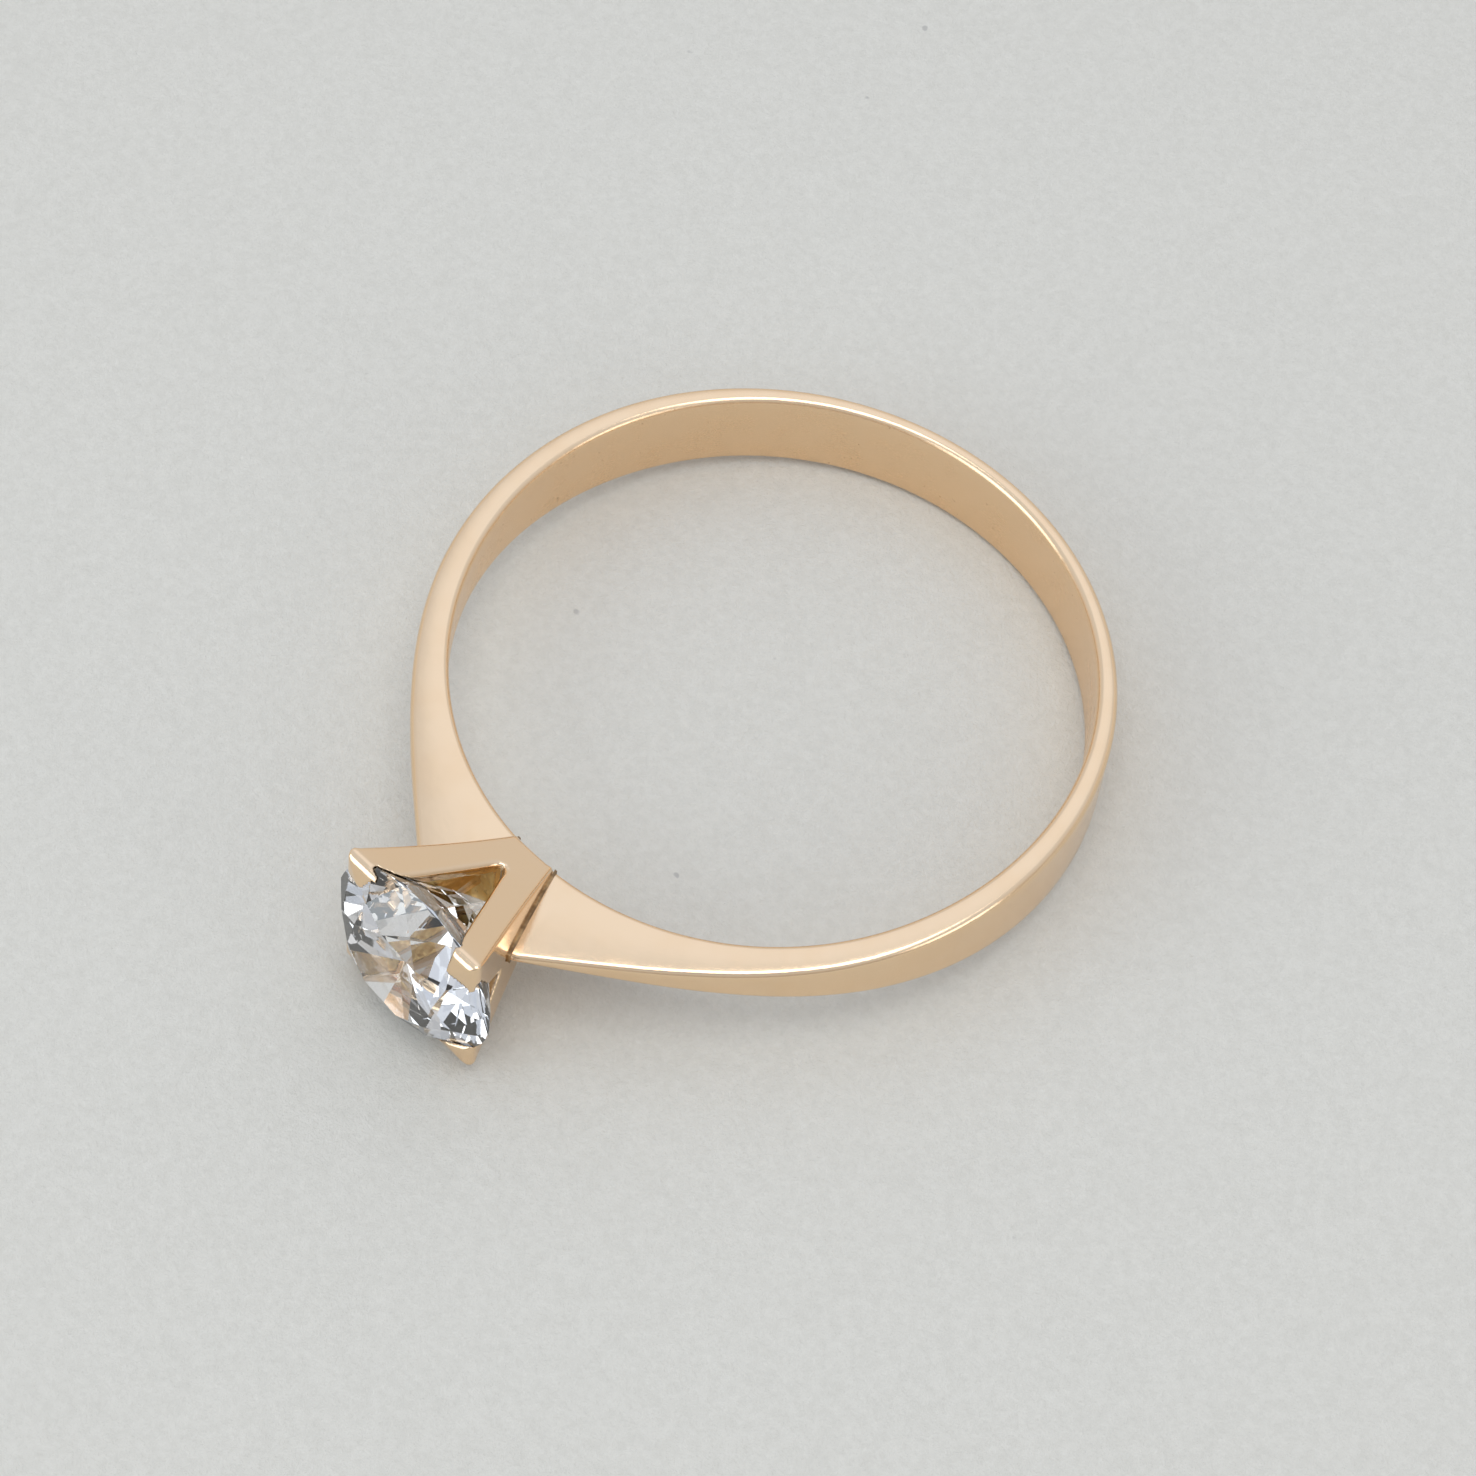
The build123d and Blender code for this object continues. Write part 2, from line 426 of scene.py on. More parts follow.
class Workbench:
    """Blender's operators, each made to act on one piece."""

    @staticmethod
    def pick(piece: bpy.types.Object) -> None:
        """Select the piece alone and make it the active one.

        Args:
            piece: the piece.
        """
        bpy.ops.object.select_all(action="DESELECT")
        piece.select_set(True)
        bpy.context.view_layer.objects.active = piece

    @staticmethod
    @contextmanager
    def edit(piece: bpy.types.Object, mode: str = "VERT") -> Iterator[None]:
        """Open a piece in edit mode with nothing selected, and close it again.

        Args:
            piece: the piece to edit.
            mode: what is selected in it, as VERT, EDGE or FACE.
        """
        Workbench.pick(piece)
        bpy.ops.object.mode_set(mode="EDIT")
        bpy.ops.mesh.select_mode(type=mode)
        bpy.ops.mesh.select_all(action="DESELECT")
        yield
        bpy.ops.object.mode_set(mode="OBJECT")

    @staticmethod
    def select(kind: str, test: Callable[[MeshItem], bool]) -> None:
        """Select what passes a test in the piece that is being edited.

        Args:
            kind: verts, edges or faces.
            test: says of one vertex, edge or face whether it is selected.
        """
        mesh = bmesh.from_edit_mesh(bpy.context.edit_object.data)
        bpy.ops.mesh.select_all(action="DESELECT")
        for item in getattr(mesh, kind):
            item.select_set(test(item))
        mesh.select_flush_mode()
        bmesh.update_edit_mesh(bpy.context.edit_object.data)

    @staticmethod
    def cube(name: str, low: Triple, high: Triple) -> bpy.types.Object:
        """Make a block between two corners.

        Args:
            name: its name.
            low: its low corner.
            high: its high corner.

        Returns:
            The block, with its origin at the origin.
        """
        bpy.ops.object.select_all(action="DESELECT")
        middle = (Vector(low) + Vector(high)) / 2
        bpy.ops.mesh.primitive_cube_add(size=1, location=middle, scale=Vector(high) - Vector(low))
        piece = bpy.context.object
        piece.name = name
        bpy.ops.object.transform_apply(location=True, rotation=True, scale=True)
        return piece

    @staticmethod
    def combine(piece: bpy.types.Object, tool: bpy.types.Object, how: Leave = Leave.OUTSIDE) -> None:
        """Cut a piece with a tool, and throw the tool away.

        Args:
            piece: the piece.
            tool: the tool.
            how: which part of the piece is left.
        """
        Workbench.pick(piece)
        boolean = piece.modifiers.new("boolean", "BOOLEAN")
        boolean.object = tool
        boolean.operation = how.value
        boolean.solver = "EXACT"
        bpy.ops.object.modifier_apply(modifier=boolean.name)
        bpy.data.objects.remove(tool, do_unlink=True)

    @staticmethod
    def modify(piece: bpy.types.Object, kind: str, **settings: object) -> None:
        """Add a modifier to a piece and apply it.

        Args:
            piece: the piece.
            kind: the modifier's type.
            settings: the modifier's settings, by name.
        """
        Workbench.pick(piece)
        modifier = piece.modifiers.new(kind.lower(), kind)
        for key, value in settings.items():
            setattr(modifier, key, value)
        bpy.ops.object.modifier_apply(modifier=modifier.name)

    @staticmethod
    def lay(piece: bpy.types.Object, lean: float) -> None:
        """Turn a finished flat piece to the ring's lean and bring it from millimetres to metres.

        Args:
            piece: the piece.
            lean: the turn about X, in radians.
        """
        Workbench.pick(piece)
        piece.rotation_euler = (lean, 0, 0)
        piece.scale = (MM, MM, MM)
        bpy.ops.object.transform_apply(location=True, rotation=True, scale=True)


# ---------------------------------------------------------------- the ring's own sizes

@dataclass(frozen=True)
class Ring:
    """What the frame says about the ring as a whole, in millimetres and radians."""

    hole_radius: float
    lean: float
    girdle_radius: float

    @classmethod
    def from_frame(cls) -> Ring:
        """Read the finger hole's size and lean, and the stone's width.

        Returns:
            The ring's own sizes.
        """
        hole = next(mount for mount in frame["record"]["mounts"] if mount["name"] == "finger_hole")
        axis = Vector(hole["axis"])
        low, high = (Vector(corner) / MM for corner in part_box("stone"))
        return cls(hole["dims"]["r_mm"], -atan2(axis.y, axis.z), (high.x - low.x) / 2)


@dataclass
class Flare:
    """The flared outer shape of the setting, which the shoulders of the band are cut to."""

    ring: Ring
    base_height: float = 0.19           # above the finger hole
    base_width: float = 1.46
    shoulder_height: float = 4.40       # above the finger hole
    shoulder_width: float = 4.90
    bow: float = 0.07                   # how far the middle of a side lies in
    foot_gap: float = 0.12              # between the finger hole and the setting's foot
    rings: int = 14

    @property
    def side_slope(self) -> float:
        """The angle between the setting's sides and the reach, as if its sides were straight."""
        return atan2((self.shoulder_width - self.base_width) / 2, self.shoulder_height - self.base_height)

    @property
    def foot_reach(self) -> float:
        """The reach of the flat foot that the finger hole then cuts."""
        return self.ring.hole_radius - self.foot_gap

    @property
    def shoulder_reach(self) -> float:
        """The reach of the shoulder, just under the claw ends."""
        return self.ring.hole_radius + self.shoulder_height

    def straight_half_width(self, reach: float) -> float:
        """Work out half the setting's width, as if its sides were straight.

        Args:
            reach: the reach.

        Returns:
            Half the width.
        """
        base_reach = self.ring.hole_radius + self.base_height
        share = (reach - base_reach) / (self.shoulder_reach - base_reach)
        return (self.base_width + share * (self.shoulder_width - self.base_width)) / 2

    def half_width(self, reach: float) -> float:
        """Half the setting's width at a reach, with its sides bowed slightly inwards."""
        along = (reach - self.foot_reach) / (self.shoulder_reach - self.foot_reach)
        return self.straight_half_width(reach) - 4 * self.bow * max(0.0, along * (1 - along))

    def block(self, name: str, margin: float, deep: bool) -> bpy.types.Object:
        """The flared block.

        Args:
            name: its name.
            margin: how far its two sides stand out.
            deep: whether it runs far past the ring along the finger, instead of being square.

        Returns:
            The block, from foot to shoulder.
        """
        block = Workbench.cube(name, (-0.5, -self.shoulder_reach, -0.5), (0.5, -self.foot_reach, 0.5))
        step = (self.shoulder_reach - self.foot_reach) / self.rings
        with Workbench.edit(block):
            for number in range(1, self.rings):
                bpy.ops.mesh.select_all(action="SELECT")
                reach = self.foot_reach + number * step
                bpy.ops.mesh.bisect(plane_co=(0, -reach, 0), plane_no=(0, 1, 0))
            for number in range(self.rings + 1):
                reach = self.foot_reach + number * step
                width = 2 * (self.half_width(reach) + margin)
                Workbench.select("verts", lambda vert: abs(vert.co.y + reach) < step / 4)
                depth = self.ring.hole_radius if deep else width
                bpy.ops.transform.resize(value=(width, 1, depth), center_override=(0, -reach, 0))
        return block


# ---------------------------------------------------------------- band

@dataclass
class Shank:
    """The band, which runs from a thin back to two upright blades at the setting."""

    ring: Ring
    flare: Flare
    back_thickness: float = 0.455
    side_thickness: float = 0.695
    width: float = 2.55
    edge_round: float = 0.16
    blend_angle: float = radians(62)    # from the stone, where the band turns into a shoulder
    end_height: float = 2.50            # above the finger hole
    end_angle: float = radians(51)      # between the blade's outer edge and the reach
    end_width: float = 0.32
    taper_start: float = 0.8            # behind the middle of the finger hole
    taper_blend: float = 3.6            # on either side of that, where the taper sets in
    solder: float = 0.07
    dome: float = 0.028                 # how far a flat face falls away at its edges
    ripple: float = 0.012               # how deep the face is worn at the most
    ripple_scale: float = 0.35
    steps: int = 150
    round_steps: int = 5
    face_cuts: int = 7
    halvings: int = 40
    front_share: float = 0.8            # of the setting's half angle, which the spun band leaves open
    smooth_angle: float = radians(38)

    def outer_radius(self, angle: float) -> float:
        """The outer edge's distance from the middle of the finger hole.

        Args:
            angle: measured round the finger hole from the direction of the stone.

        Returns:
            The distance.
        """
        radius = self.ring.hole_radius + self.side_thickness
        offset = self.side_thickness - self.back_thickness
        if angle >= self.blend_angle:
            return offset * cos(angle) + sqrt(radius ** 2 - (offset * sin(angle)) ** 2)
        low, high = 0.0, 1.0
        for _ in range(self.halvings):
            middle = (low + high) / 2
            across, reach = self.shoulder_point(middle)
            low, high = (middle, high) if atan2(across, reach) > angle else (low, middle)
        return hypot(*self.shoulder_point(low))

    def shoulder_point(self, share: float) -> tuple[float, float]:
        """A point on the shoulder's outer edge.

        Args:
            share: how far along it, from the band at 0 to the setting at 1.

        Returns:
            The point's distance from the middle plane, and its reach.
        """
        radius = self.ring.hole_radius + self.side_thickness
        offset = self.side_thickness - self.back_thickness
        end_reach = self.ring.hole_radius + self.end_height
        start = Vector((radius * sin(self.blend_angle), offset + radius * cos(self.blend_angle)))
        end = Vector((self.flare.straight_half_width(end_reach), end_reach))
        chord = (end - start).length
        leave = Vector((-cos(self.blend_angle), sin(self.blend_angle))) * chord
        arrive = Vector((-sin(self.end_angle), cos(self.end_angle))) * chord
        weights = (2 * share ** 3 - 3 * share ** 2 + 1, share ** 3 - 2 * share ** 2 + share,
                   3 * share ** 2 - 2 * share ** 3, share ** 3 - share ** 2)
        knots = (start, leave, end, arrive)
        point = sum((knot * weight for knot, weight in zip(knots, weights)), Vector((0, 0)))
        return point.x, point.y

    def half_depth(self, reach: float) -> float:
        """Work out half the band's width along the finger.

        Args:
            reach: the reach.

        Returns:
            Half the width.
        """
        end_reach = self.ring.hole_radius + self.end_height
        slope = (self.width - self.end_width) / 2 / (end_reach + self.taper_start)
        past = reach + self.taper_start
        if past < -self.taper_blend:
            return self.width / 2
        if past > self.taper_blend:
            return self.width / 2 - slope * past
        return self.width / 2 - slope * (past + self.taper_blend) ** 2 / (4 * self.taper_blend)

    def section(self) -> bpy.types.Object:
        """Make the band's section at its back.

        Returns:
            The rounded face, standing across the band.
        """
        low = (0, self.ring.hole_radius, -self.width / 2)
        high = (1, self.ring.hole_radius + self.back_thickness, self.width / 2)
        section = Workbench.cube("shank_gold", low, high)
        with Workbench.edit(section, "FACE"):
            Workbench.select("faces", lambda face: face.normal.x > -0.5)
            bpy.ops.mesh.delete(type="FACE")
        with Workbench.edit(section):
            bpy.ops.mesh.select_all(action="SELECT")
            bpy.ops.mesh.bevel(offset=self.edge_round, segments=self.round_steps, affect="VERTICES")
        with Workbench.edit(section, "EDGE"):
            Workbench.select("edges", lambda edge: edge.calc_length() > self.edge_round * 3)
            bpy.ops.mesh.subdivide(number_cuts=self.face_cuts)
        return section

    def shape(self, spot: Vector) -> Vector:
        """Move a point from the evenly spun band to the real one.

        Args:
            spot: a point of the evenly spun band.

        Returns:
            Where it goes on the real band, with the edges as round as before.
        """
        angle = atan2(abs(spot.x), -spot.y)
        radius = hypot(spot.x, spot.y)
        inset = radius - self.ring.hole_radius
        grown = self.outer_radius(angle) - self.ring.hole_radius
        kept = self.edge_round
        if inset > self.back_thickness - kept:
            inset = grown - (self.back_thickness - inset)
        elif inset > kept:
            share = (inset - kept) / (self.back_thickness - 2 * kept)
            inset = kept + share * (grown - 2 * kept)
        scale = (self.ring.hole_radius + inset) / radius
        moved = Vector((spot.x * scale, spot.y * scale, spot.z))
        wave = abs(noise.noise(Vector((moved.x, moved.y, 0)) * self.ripple_scale)) * self.ripple
        middle = 2 * inset / grown - 1
        depth = self.half_depth(-moved.y) - wave - self.dome * middle * middle
        rim = self.width / 2 - abs(spot.z)
        if rim < kept:
            height = depth - rim
        else:
            height = (depth - kept) * (abs(spot.z) / (self.width / 2 - kept))
        moved.z = height * (1 if spot.z > 0 else -1)
        return moved

    def build(self) -> bpy.types.Object:
        """Spin the section round the finger hole, shape the band and cut its ends to the setting.

        Returns:
            The finished band.
        """
        shank = self.section()
        front = self.flare.half_width(self.ring.hole_radius) / self.ring.hole_radius
        sweep = pi - asin(front) * self.front_share
        with Workbench.edit(shank):
            bpy.ops.mesh.select_all(action="SELECT")
            bpy.ops.mesh.spin(steps=self.steps, angle=sweep, center=(0, 0, 0), axis=(0, 0, -1))
        for vert in shank.data.vertices:
            vert.co = self.shape(vert.co)
        Workbench.modify(shank, "MIRROR", use_axis=(True, False, False), use_clip=True, merge_threshold=NEAR)
        with Workbench.edit(shank):
            bpy.ops.mesh.select_all(action="SELECT")
            bpy.ops.mesh.remove_doubles(threshold=NEAR / 2)
            bpy.ops.mesh.normals_make_consistent(inside=False)
        spread = self.solder / cos(self.flare.side_slope)
        Workbench.combine(shank, self.flare.block("joint_tool", spread, True))
        Workbench.pick(shank)
        bpy.ops.object.shade_smooth_by_angle(angle=self.smooth_angle)
        Workbench.lay(shank, self.ring.lean)
        return shank


# ---------------------------------------------------------------- claw setting

class Opening(Enum):
    """The way that a pair of windows opens, by the axis that they are wide along."""

    ALONG_FINGER = 0
    OVER_SHOULDERS = 2


@dataclass(frozen=True)
class Window:
    """A V-shaped opening through two opposite walls of the setting."""

    way: Opening
    height: float           # of its point above the finger hole
    width: float            # at the shoulder
    point_round: float
    draft: float = 0.42     # how much narrower it is in the middle than outside, as a share
    point_steps: int = 12

    def tool(self, flare: Flare) -> bpy.types.Object:
        """Make the wedge that cuts the window.

        Args:
            flare: the outer shape of the setting.

        Returns:
            The wedge, from its rounded point out past the claws.
        """
        reach = flare.ring.hole_radius + self.height
        slope = self.width / 2 / (flare.shoulder_reach - reach)
        peak = flare.shoulder_reach + flare.shoulder_width
        half = [flare.shoulder_width] * 3
        half[self.way.value] = slope * (peak - reach)
        tool = Workbench.cube("window_tool", (-half[0], -peak, -half[2]), (half[0], -reach, half[2]))
        squeeze = [1.0, 1.0, 1.0]
        squeeze[self.way.value] = 0.0
        with Workbench.edit(tool):
            Workbench.select("verts", lambda vert: vert.co.y > -reach - NEAR)
            bpy.ops.transform.resize(value=squeeze, center_override=(0, -reach, 0))
            bpy.ops.mesh.select_all(action="SELECT")
            bpy.ops.mesh.remove_doubles(threshold=NEAR)
        with Workbench.edit(tool, "EDGE"):
            Workbench.select("edges", lambda edge: all(vert.co.y > -reach - NEAR for vert in edge.verts))
            bpy.ops.mesh.bevel(offset=self.point_round / slope, segments=self.point_steps)
        self.splay(tool, flare)
        return tool

    def splay(self, tool: bpy.types.Object, flare: Flare) -> None:
        """Narrow the wedge's middle, so that the window's walls open outwards by the draft.

        Args:
            tool: the wedge.
            flare: the outer shape of the setting.
        """
        along = [0.0, 0.0, 0.0]
        along[2 - self.way.value] = 1.0
        narrow = [1.0, 1.0, 1.0]
        narrow[self.way.value] = 1 - self.draft * flare.shoulder_width / self.width / 2
        with Workbench.edit(tool):
            bpy.ops.mesh.select_all(action="SELECT")
            bpy.ops.mesh.bisect(plane_co=(0, 0, 0), plane_no=along)
            Workbench.select("verts", lambda vert: abs(vert.co.dot(Vector(along))) < NEAR)
            bpy.ops.transform.resize(value=narrow, center_override=(0, 0, 0))


@dataclass
class ClawSetting:
    """The hollow square cup whose corners are the four claws that hold the stone."""

    ring: Ring
    flare: Flare
    claw_rise: float = 0.20             # from the girdle to the shoulder
    claw_end_slope: float = radians(18)
    claw_end_round: float = 0.28
    claw_end_steps: int = 8
    ridge_share: float = 0.8            # of the half width, which a claw end's slope takes
    corner_round: float = 0.12
    corner_steps: int = 5
    wall: float = 0.50
    floor_height: float = 1.40          # above the finger hole
    cavity_corner_round: float = 0.30
    cavity_corner_steps: int = 6
    hole_steps: int = 256
    seat_gap: float = 0.03
    seat_depth: float = 0.15            # below the girdle, where the cast surface starts
    rim_chamfer: float = 0.10
    rim_limits: Span = (0.6, 0.85)      # how far a rim's two faces look along the finger
    bend_height: float = 3.75           # above the finger hole, where the claws start to lean in
    bend: float = 0.035                 # how strongly they do
    first_grain: float = 0.045          # the cells of the first remesh
    grain: float = 0.034                # the cells of the second
    softening: int = 6                  # rounds of smoothing
    cast_reach: float = 0.08            # how far from the hollow's walls the cast surface ends
    cast_fade: float = 0.05
    cast_depth: float = 0.035
    cast_sink: float = 0.3
    cast_scales: Span = (6, 13)
    cast_attribute: str = "as_cast"
    windows: tuple[Window, ...] = (
        Window(Opening.ALONG_FINGER, 0.88, 3.20, 0.28),
        Window(Opening.OVER_SHOULDERS, 2.80, 3.10, 0.20),
    )

    @property
    def girdle_reach(self) -> float:
        """The reach of the stone's girdle, its widest place."""
        return self.flare.shoulder_reach - self.claw_rise

    def is_window_rim(self, edge: bmesh.types.BMEdge) -> bool:
        """Find the outer rim of the windows that open along the finger.

        Args:
            edge: an edge of the cut setting.

        Returns:
            Whether it is part of that rim.
        """
        if len(edge.link_faces) != 2:
            return False
        upright, wall = sorted(edge.link_faces, key=lambda face: -abs(face.normal.z))
        middle = (edge.verts[0].co + edge.verts[1].co) / 2
        outer = abs(middle.z) > self.flare.straight_half_width(-middle.y) - self.wall / 2
        inward = wall.normal.x * middle.x < 0 or abs(middle.x) < self.wall
        below = -middle.y < self.flare.shoulder_reach - self.claw_end_round
        wall_limit, upright_limit = self.rim_limits
        turned = abs(upright.normal.z) > upright_limit and abs(wall.normal.z) < wall_limit
        return outer and inward and below and turned

    def gable(self, name: str) -> bpy.types.Object:
        """Make a flared block, far longer than the ring along the finger, under the slopes of claw ends.

        Args:
            name: its name.

        Returns:
            The block.
        """
        gable = self.flare.block(name, 0.0, True)
        shoulder = self.flare.shoulder_reach
        rise = self.ridge_share * self.flare.shoulder_width / 2 * tan(self.claw_end_slope)
        turn = pi / 2 + self.claw_end_slope - self.flare.side_slope
        with Workbench.edit(gable, "FACE"):
            Workbench.select("faces", lambda face: face.normal.y < -0.9)
            bpy.ops.mesh.extrude_region_move(TRANSFORM_OT_translate={"value": (0, -rise, 0)})
            ridge = (0, -shoulder - rise, 0)
            bpy.ops.transform.resize(value=(1 - self.ridge_share, 1, 1), center_override=ridge)
        with Workbench.edit(gable, "EDGE"):
            Workbench.select("edges", self.is_shoulder)
            bpy.ops.mesh.bevel(offset=self.claw_end_round * tan(turn / 2), segments=self.claw_end_steps)
        return gable

    def body(self) -> bpy.types.Object:
        """Make the square cup before it is hollowed.

        Returns:
            What two crossed gables share, with its corners rounded.
        """
        body, crossed = self.gable("setting_gold"), self.gable("crossed_tool")
        Workbench.pick(crossed)
        crossed.rotation_euler = (0, pi / 2, 0)
        bpy.ops.object.transform_apply(location=True, rotation=True, scale=True)
        Workbench.combine(body, crossed, Leave.INSIDE)
        with Workbench.edit(body):
            bpy.ops.mesh.select_all(action="SELECT")
            bpy.ops.mesh.remove_doubles(threshold=NEAR)
        with Workbench.edit(body, "EDGE"):
            Workbench.select("edges", self.is_corner)
            bpy.ops.mesh.bevel(offset=self.corner_round, segments=self.corner_steps)
        return body

    def is_corner(self, edge: bmesh.types.BMEdge) -> bool:
        """Find the edges that run up the corners of the cup.

        Args:
            edge: an edge of the solid cup.

        Returns:
            Whether it runs up a corner, under the shoulder.
        """
        at_corner = all(abs(abs(vert.co.x) - abs(vert.co.z)) < 5 * NEAR for vert in edge.verts)
        below = all(-vert.co.y < self.flare.shoulder_reach - self.claw_end_round for vert in edge.verts)
        rises = abs(edge.verts[0].co.y - edge.verts[1].co.y) > NEAR
        return at_corner and below and rises

    def is_shoulder(self, edge: bmesh.types.BMEdge) -> bool:
        """Whether an edge runs along the shoulder, the way of the finger."""
        level = all(abs(-vert.co.y - self.flare.shoulder_reach) < NEAR for vert in edge.verts)
        return level and abs(edge.verts[0].co.z - edge.verts[1].co.z) > NEAR

    def cavity(self) -> bpy.types.Object:
        """Make the tool for the tapered hollow.

        Returns:
            The hollow, from its floor up to the girdle.
        """
        low = self.ring.hole_radius + self.floor_height
        tool = Workbench.cube("cavity_tool", (-0.5, -self.girdle_reach, -0.5), (0.5, -low, 0.5))
        with Workbench.edit(tool):
            for reach in (low, self.girdle_reach):
                width = 2 * (self.flare.straight_half_width(reach) - self.wall)
                Workbench.select("verts", lambda vert: abs(vert.co.y + reach) < NEAR)
                bpy.ops.transform.resize(value=(width, 1, width), center_override=(0, -reach, 0))
        with Workbench.edit(tool, "EDGE"):
            Workbench.select("edges", lambda edge: abs(edge.verts[0].co.y - edge.verts[1].co.y) > NEAR)
            bpy.ops.mesh.bevel(offset=self.cavity_corner_round, segments=self.cavity_corner_steps)
        return tool

    def seat(self) -> bpy.types.Object:
        """Make the tool for the seat of the stone.

        Returns:
            A slightly larger copy of the stone, flat and in millimetres.
        """
        stone = frame["nodes"]["stone"]
        tool = bpy.data.objects.new("seat_tool", stone.data.copy())
        bpy.context.collection.objects.link(tool)
        tool.data.transform(Matrix.Rotation(-self.ring.lean, 4, "X") @ Matrix.Scale(1 / MM, 4))
        with Workbench.edit(tool):
            bpy.ops.mesh.select_all(action="SELECT")
            bpy.ops.mesh.remove_doubles(threshold=NEAR)
            growth = 1 + self.seat_gap / self.ring.girdle_radius
            centre = (0, -self.girdle_reach, 0)
            bpy.ops.transform.resize(value=(growth, growth, growth), center_override=centre)
        return tool

    def finger_hole(self) -> bpy.types.Object:
        """Make the cylinder that hollows the foot.

        Returns:
            The cylinder.
        """
        bpy.ops.object.select_all(action="DESELECT")
        radius = self.ring.hole_radius + self.flare.foot_gap
        depth = 2 * self.ring.hole_radius
        bpy.ops.mesh.primitive_cylinder_add(vertices=self.hole_steps, radius=radius, depth=depth)
        return bpy.context.object

    def bent(self, spot: Vector) -> Vector:
        """Push the claw ends in over the stone.

        Args:
            spot: a point of the setting.

        Returns:
            Where it goes.
        """
        past = -spot.y - self.ring.hole_radius - self.bend_height
        if past <= 0:
            return spot
        share = 1 - self.bend * past * past
        return Vector((spot.x * share, spot.y, spot.z * share))

    def castness(self, spot: Vector) -> float:
        """Tell how far a point is left as cast.

        Args:
            spot: a point of the setting.

        Returns:
            From 1 on the walls and floor of the hollow to 0 elsewhere.
        """
        reach = -spot.y
        if reach > self.girdle_reach - self.seat_depth:
            return 0.0
        outward = max(abs(spot.x), abs(spot.z)) - (self.flare.straight_half_width(reach) - self.wall)
        below = self.ring.hole_radius + self.floor_height - reach
        return min(1.0, max(0.0, (self.cast_reach - max(outward, below)) / self.cast_fade))

    def roughen(self, setting: bpy.types.Object) -> None:
        """Mark the surface that is left as cast and give it its grains.

        Args:
            setting: the setting.
        """
        mesh = setting.data
        coarse, fine = self.cast_scales
        cast = [self.castness(vert.co) for vert in mesh.vertices]
        marks = mesh.attributes.new(self.cast_attribute, "FLOAT", "POINT")
        marks.data.foreach_set("value", cast)
        normals = [vert.normal.copy() for vert in mesh.vertices]
        for vert, normal, share in zip(mesh.vertices, normals, cast):
            if share > 0:
                grain = noise.noise(vert.co * coarse) + 0.5 * noise.noise(vert.co * fine)
                vert.co += normal * (share * self.cast_depth * (grain - self.cast_sink))

    def build(self) -> bpy.types.Object:
        """Cut the setting out of its block, soften it as wear does, and roughen its inside.

        Returns:
            The finished setting.
        """
        setting = self.body()
        windows = [window.tool(self.flare) for window in self.windows]
        for tool in (self.finger_hole(), *windows, self.cavity()):
            Workbench.combine(setting, tool)
        with Workbench.edit(setting, "EDGE"):
            Workbench.select("edges", self.is_window_rim)
            bpy.ops.mesh.bevel(offset=self.rim_chamfer, segments=1)
        Workbench.modify(setting, "REMESH", mode="VOXEL", voxel_size=self.first_grain)
        for vert in setting.data.vertices:
            vert.co = self.bent(vert.co)
        Workbench.combine(setting, self.seat())
        Workbench.modify(setting, "REMESH", mode="VOXEL", voxel_size=self.grain)
        Workbench.modify(setting, "SMOOTH", factor=0.5, iterations=self.softening)
        self.roughen(setting)
        Workbench.pick(setting)
        bpy.ops.object.shade_smooth()
        Workbench.lay(setting, self.ring.lean)
        return setting


# ---------------------------------------------------------------- camera, light, floor

@dataclass
class View:
    """The camera, by the direction that it looks from."""

    azimuth: float = radians(42.10)
    elevation: float = radians(58.03)
    roll: float = radians(3.88)
    distance: float = 115.2
    aim: Triple = (0.620, -1.841, 0.0)
    lens: float = 107.46

    @property
    def back(self) -> Vector:
        """The direction from the ring to the camera."""
        return heading(self.azimuth, self.elevation)

    def build(self) -> None:
        """Place the camera."""
        back = self.back
        level = Vector((cos(self.azimuth), sin(self.azimuth), 0))
        right = level * cos(self.roll) + back.cross(level) * sin(self.roll)
        place = (Vector(self.aim) + back * self.distance) * MM
        data = bpy.data.cameras.new("camera")
        data.lens = self.lens
        data.clip_start = MM
        camera = bpy.data.objects.new("camera", data)
        turn = Matrix((right, back.cross(right), back)).transposed().to_4x4()
        camera.matrix_world = Matrix.Translation(place) @ turn
        bpy.context.collection.objects.link(camera)
        bpy.context.scene.camera = camera


@dataclass(frozen=True)
class SoftBox:
    """A square soft light that faces the ring, with its angles in degrees and its sizes in metres."""

    name: str
    azimuth: float
    elevation: float
    distance: float
    size: float
    brightness: float
    tint: Triple = (1, 1, 1)

    def build(self) -> None:
        """Place the light."""
        away = heading(radians(self.azimuth), radians(self.elevation))
        data = bpy.data.lights.new(self.name, "AREA")
        data.shape = "SQUARE"
        data.size = self.size
        data.energy = self.brightness * pi * self.size ** 2
        data.color = self.tint
        light = bpy.data.objects.new(self.name, data)
        light.location = away * self.distance
        light.rotation_euler = away.to_track_quat("Z", "Y").to_euler()
        bpy.context.collection.objects.link(light)


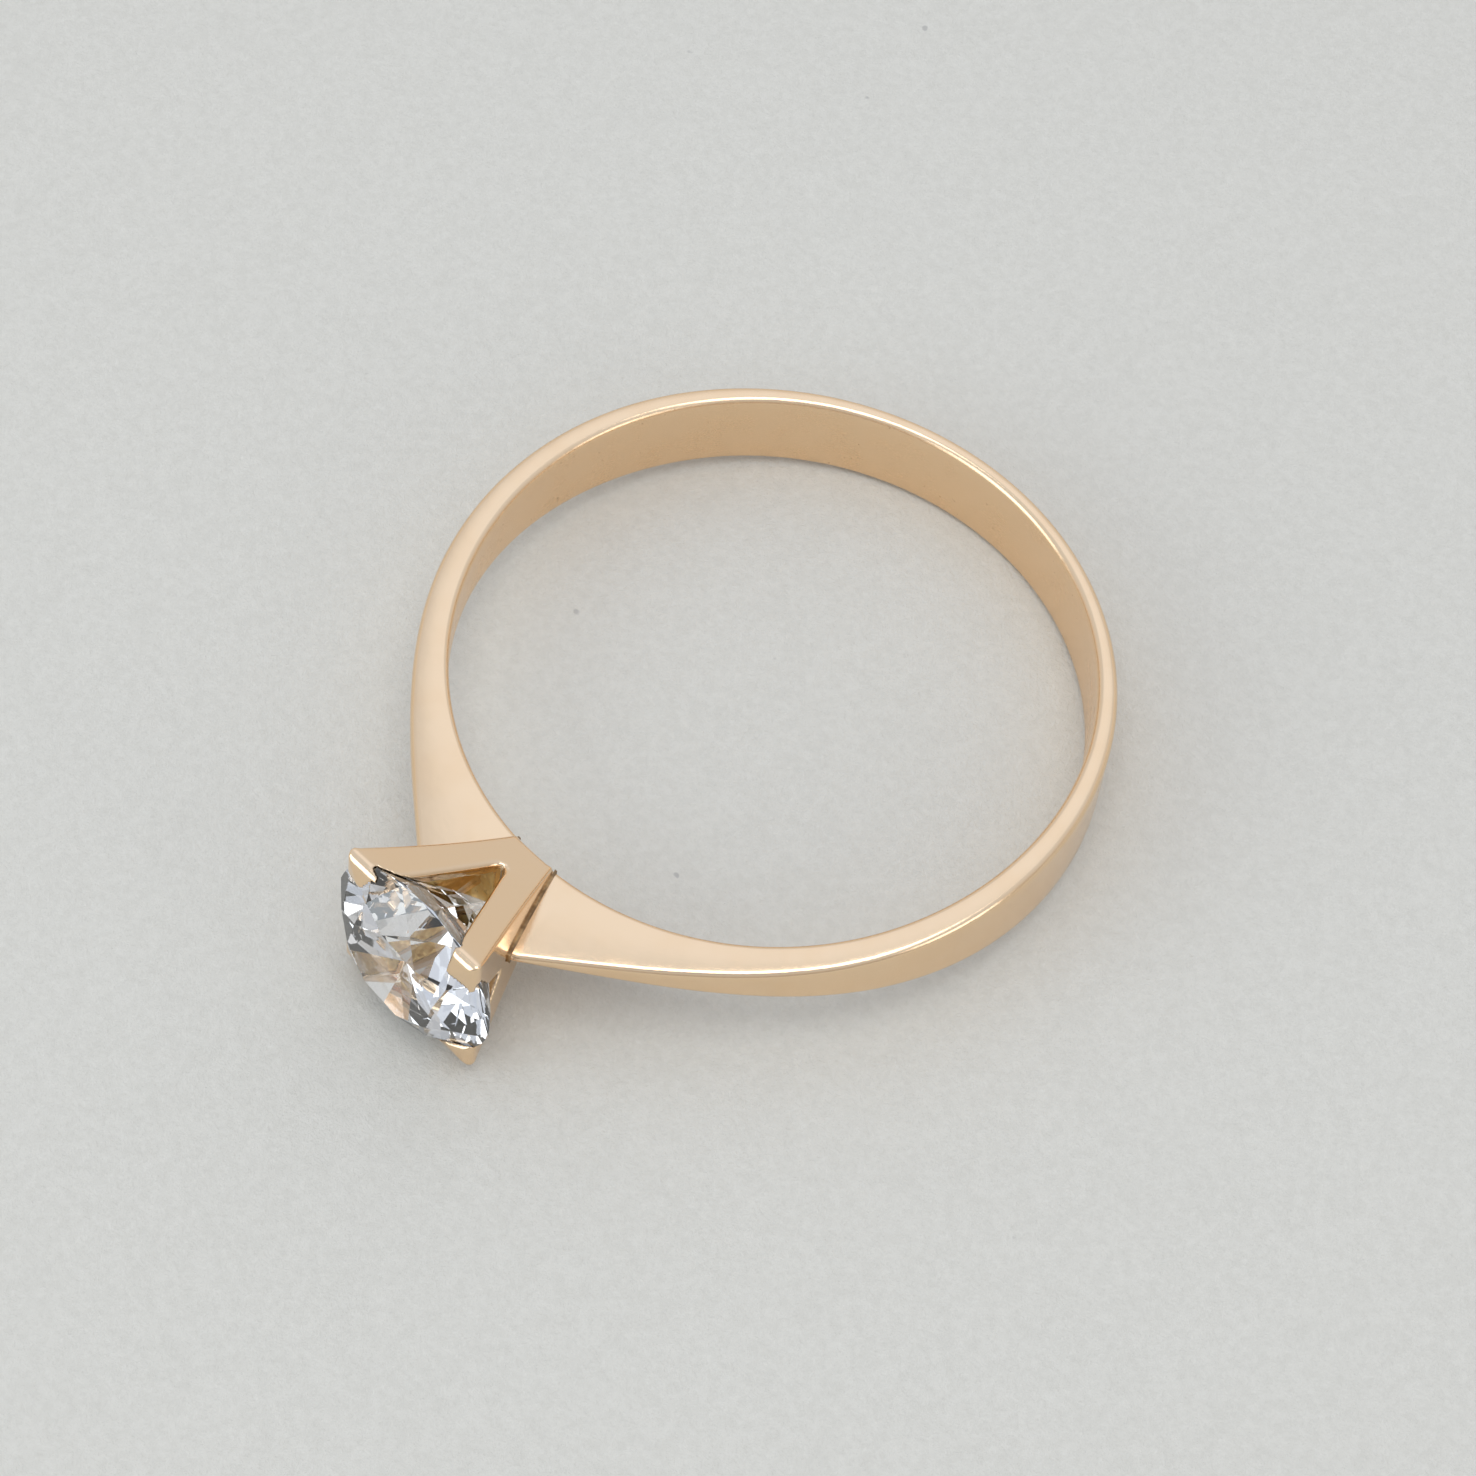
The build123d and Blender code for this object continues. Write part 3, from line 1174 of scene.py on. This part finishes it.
@dataclass
class Studio:
    """The plain floor and the soft light round the ring."""

    floor_size: float = 0.6
    low_tint: Colour = (1.00, 0.97, 0.93, 1)
    high_tint: Colour = (0.92, 1.00, 1.15, 1)
    near_light: float = 0.40
    far_light: float = 0.71
    high_light: float = 0.76
    dark_share: float = 0.62            # of the light that is left in the darker patch
    glow: float = 0.26
    glow_azimuth: float = radians(212)
    glow_elevation: float = radians(54)
    height_span: Span = (-0.1, 0.9)
    depth_span: Span = (-0.7, 0.6)
    dark_span: Span = (0.95, 0.985)
    glow_span: Span = (0.90, 1.0)
    boxes: tuple[SoftBox, ...] = (
        SoftBox("overhead", 50, 81, 0.30, 0.20, 2.2),
        SoftBox("right", 95, 20, 0.30, 0.12, 1.6),
        SoftBox("front", 335, 18, 0.30, 0.22, 1.9, (0.84, 0.93, 1.0)),
    )

    def build(self) -> None:
        """Lay the floor, hang the lights and set the sky."""
        self.lay_floor()
        for box in self.boxes:
            box.build()
        self.set_sky()
        bpy.context.scene.view_settings.view_transform = "Standard"

    def lay_floor(self) -> None:
        """Lay the paper under the ring's lowest point."""
        low, _ = cad_bounds
        bpy.ops.object.select_all(action="DESELECT")
        bpy.ops.mesh.primitive_plane_add(size=self.floor_size, location=(0, 0, low[2]))
        floor = bpy.context.object
        floor.name = "floor"
        bpy.ops.object.transform_apply(location=True, rotation=True, scale=True)
        floor.data.materials.append(Paper().material())

    def set_sky(self) -> None:
        """Light the room from above and behind, with one soft glow and a darker patch in front."""
        bpy.context.scene.world = bpy.data.worlds.new("studio")
        bench = Bench(bpy.context.scene.world)
        view = View()
        way = bench.add("ShaderNodeTexCoord", output="Generated")
        height = bench.add("ShaderNodeSeparateXYZ", values={0: way}, output="Z").step(*self.height_span)
        depth = bench.dot(way, -heading(view.azimuth, 0)).step(*self.depth_span)
        low = depth * (self.far_light - self.near_light) + self.near_light
        dark = bench.dot(way, view.back).step(*self.dark_span) * (1 - self.dark_share)
        toward = bench.dot(way, heading(self.glow_azimuth, self.glow_elevation))
        glow = toward.step(*self.glow_span) * self.glow
        light = (low + height * (self.high_light - low)) * (1 - dark) + glow
        tint = bench.mix(height, self.low_tint, self.high_tint)
        shader = bench.add("ShaderNodeBackground", None, {"Color": tint, "Strength": light})
        bench.end("ShaderNodeOutputWorld", shader)


# ---------------------------------------------------------------- main

def dress(node: str, material: bpy.types.Material) -> None:
    """Give a carried-over node its finish.

    Args:
        node: the node's name.
        material: the finish.
    """
    for slot in frame["nodes"][node].material_slots:
        slot.material = material
    LOG.info("dressed %s", node)


def add_piece(piece: bpy.types.Object, node: str, material: bpy.types.Material) -> None:
    """Let a finished piece stand for a node, in its finish.

    Args:
        piece: the finished piece.
        node: the node that it stands for.
        material: the finish.
    """
    piece.data.materials.clear()
    piece.data.materials.append(material)
    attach(piece, "root")
    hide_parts(node)
    LOG.info("built %s: %d faces", piece.name, len(piece.data.polygons))


def main() -> None:
    """Build the looks of the ring."""
    logging.basicConfig(level=logging.INFO, format="%(message)s")
    ring = Ring.from_frame()
    LOG.info("finger hole %.2f mm, lean %.3f degrees", ring.hole_radius, ring.lean * 180 / pi)
    View().build()
    Studio().build()
    dress("stone", Brilliant().material())
    solder = Solder().material()
    for seam in ("solder_seam_left", "solder_seam_right"):
        dress(seam, solder)
    flare = Flare(ring)
    shank = Shank(ring, flare).build()
    add_piece(shank, "shank", BandGold(ring.lean, ring.hole_radius).material())
    claws = ClawSetting(ring, flare)
    add_piece(claws.build(), "claw_setting", SettingGold(claws.cast_attribute).material())


if __name__ == "__main__":
    main()
